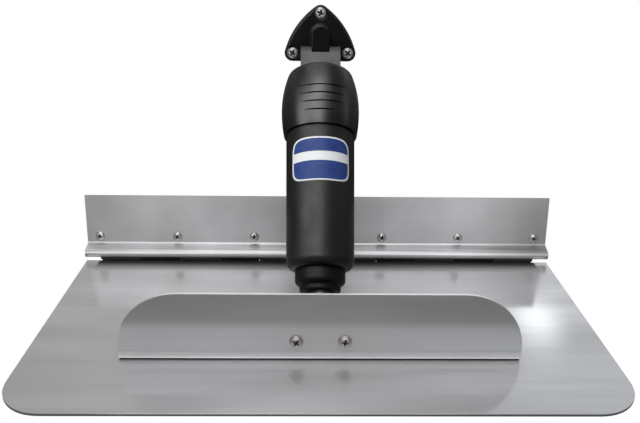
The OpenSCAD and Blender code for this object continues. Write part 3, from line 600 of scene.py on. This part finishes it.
# Cylinder: a head with forked neck and grip grooves, a tapered barrel and a stepped gland below it.
# They are moulded one by one from black nylon, the head glossiest, and put together over rubber seals.
# The head's gloss goes down on its neck, as painted shade.
neck_heights = (0.158, 0.170)
head_nylon = moulded_nylon("head_nylon", (0.0015, 0.0015, 0.0015), rough=0.37, shine=0.5, neck=neck_heights)
dress(head_nylon, nylon_lit, "cylinder_head")
black_nylon = moulded_nylon("black_nylon", (0.005, 0.005, 0.005), rough=0.46, shine=0.29)
dress(black_nylon, nylon_lit, "barrel")
# The gland is a darker, duller copy of the barrel's nylon, as painted shade.
shaded_gland_nylon = moulded_nylon("shaded_gland_nylon", (0.003, 0.003, 0.003), rough=0.5, shine=0.15)
dress(shaded_gland_nylon, nylon_lit, "rod_gland")
soften(moulded_edge, "cylinder_head", "barrel", "rod_gland")
rubber = moulded_nylon("seal_rubber", (0.012, 0.012, 0.012), rough=0.6, shine=0.4)
dress(rubber, nylon_lit, "head_seal", "gland_seal", "rod_seal", "rod_wiper")


# Sticker on the barrel: printed vinyl, a plain blue field with a white edge and a white band.
# It is bent round the front of the barrel and stands a fifth of a millimetre off it.
sticker_at, sticker_wide, sticker_tall = 0.112, 0.0272, 0.0190
sticker_lift, sticker_sink, sticker_bevel = 0.0002, -0.0001, 0.02
sticker_power = 5.0
band_middle, band_half, border_start, ink_blur = 0.12, 0.20, 0.915, 0.015
blue_dark, blue_light, ink_white = (0.008, 0.02, 0.10, 1), (0.026, 0.055, 0.2, 1), (0.55, 0.56, 0.57, 1)
barrel_top, barrel_end, barrel_top_r, barrel_end_r = 0.0815, 0.192, 0.0294, 0.0278
upper_pivot = np.array((0, -0.024, bracket_z))
ram_tilt = math.radians(31.4107)
ram_down = np.array((0, -math.sin(ram_tilt), -math.cos(ram_tilt)))
ram_front = np.array((0, -math.cos(ram_tilt), math.sin(ram_tilt)))


def barrel_radius(along):
    """The barrel's radius at a distance along the ram from its upper pin: a straight taper."""
    return barrel_top_r + (barrel_end_r - barrel_top_r) * (along - barrel_top) / (barrel_end - barrel_top)


def sticker_grid(lift):
    """A superellipse |x/a|^5 + |y/b|^5 = 1 in rings from its middle, wrapped on the barrel's cone.
    It stands off the cone by lift, which goes to nothing at the rim."""
    angle = np.linspace(0, 2 * math.pi, 160, endpoint=False)
    summed = abs(np.cos(angle)) ** sticker_power + abs(np.sin(angle)) ** sticker_power
    stretch = summed ** (-1 / sticker_power)
    ring = np.linspace(0, 1, 40)[:, None]
    along = sticker_at - sticker_tall * ring * stretch * np.sin(angle)
    radius = barrel_radius(along)
    turn = sticker_wide * ring * stretch * np.cos(angle) / radius
    radius = radius + lift * np.clip((1 - ring) / sticker_bevel, 0, 1)
    return upper_pivot + along[..., None] * ram_down + radius[..., None] * (
        np.cos(turn)[..., None] * ram_front + np.sin(turn)[..., None] * np.array((1, 0, 0)))


vinyl, tree, surface = new_material("printed_vinyl")
print_place = wire(tree, "ShaderNodeAttribute", attribute_name="print_place").outputs["Vector"]
sideways, upward, _ = wire(tree, "ShaderNodeSeparateXYZ", Vector=print_place).outputs
powers = [maths(tree, "POWER", maths(tree, "ABSOLUTE", side), sticker_power) for side in (sideways, upward)]
outward = maths(tree, "POWER", maths(tree, "ADD", *powers), 1 / sticker_power)
border = ranged(tree, outward, border_start, border_start + ink_blur, 0.0, 1.0)
off_band = maths(tree, "ABSOLUTE", maths(tree, "SUBTRACT", upward, band_middle))
band = ranged(tree, off_band, band_half, band_half + ink_blur, 1.0, 0.0)
speckle = wire(tree, "ShaderNodeTexNoise", Vector=print_place, Scale=3.0, Detail=2.0).outputs["Fac"]
blue = wire(tree, "ShaderNodeValToRGB", Fac=speckle)
blue.color_ramp.elements[0].color = blue_dark
blue.color_ramp.elements[1].color = blue_light
inked = blend(tree, "RGBA", maths(tree, "MAXIMUM", border, band), blue.outputs["Color"], ink_white)
feed(tree, surface.inputs["Base Color"], inked)
surface.inputs["Roughness"].default_value = 0.5
surface.inputs["Specular IOR Level"].default_value = 0.15

front_and_back = np.concatenate((sticker_grid(sticker_lift), sticker_grid(sticker_sink)[::-1]))
sticker = skin("barrel_sticker", [front_and_back], vinyl, nylon_lit)
offset = mesh_points(sticker) - upper_pivot
along = offset @ ram_down
turn = np.arctan2(offset[:, 0], offset @ ram_front)
print_x, print_y = turn * barrel_radius(along) / sticker_wide, (sticker_at - along) / sticker_tall
marks = np.stack((print_x, print_y, np.zeros_like(turn)), axis=-1)
sticker.data.attributes.new("print_place", "FLOAT_VECTOR", "POINT").data.foreach_set("vector", marks.ravel())
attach(sticker, "cylinder")


# Ram: a polished stainless rod with a pale plastic piston, seal and nut above, and a nylon eye below.
# The oil pushes the piston down, and a steel spring round the rod draws it back.
rod_steel = steel_sheet("polished_rod", shade=0.6, metal=1.0, rough=0.12)
dress(rod_steel, steel_lit, "ram_rod")
ivory_plastic = moulded_nylon("piston_plastic", (0.62, 0.58, 0.48), rough=0.4, shine=0.5)
dress(ivory_plastic, nylon_lit, "piston")
dress(rubber, nylon_lit, "piston_seal")
dress(bright_steel, steel_lit, "piston_nut", "return_spring")
dress(black_nylon, nylon_lit, "ram_eye")
soften(moulded_edge, "ram_eye")
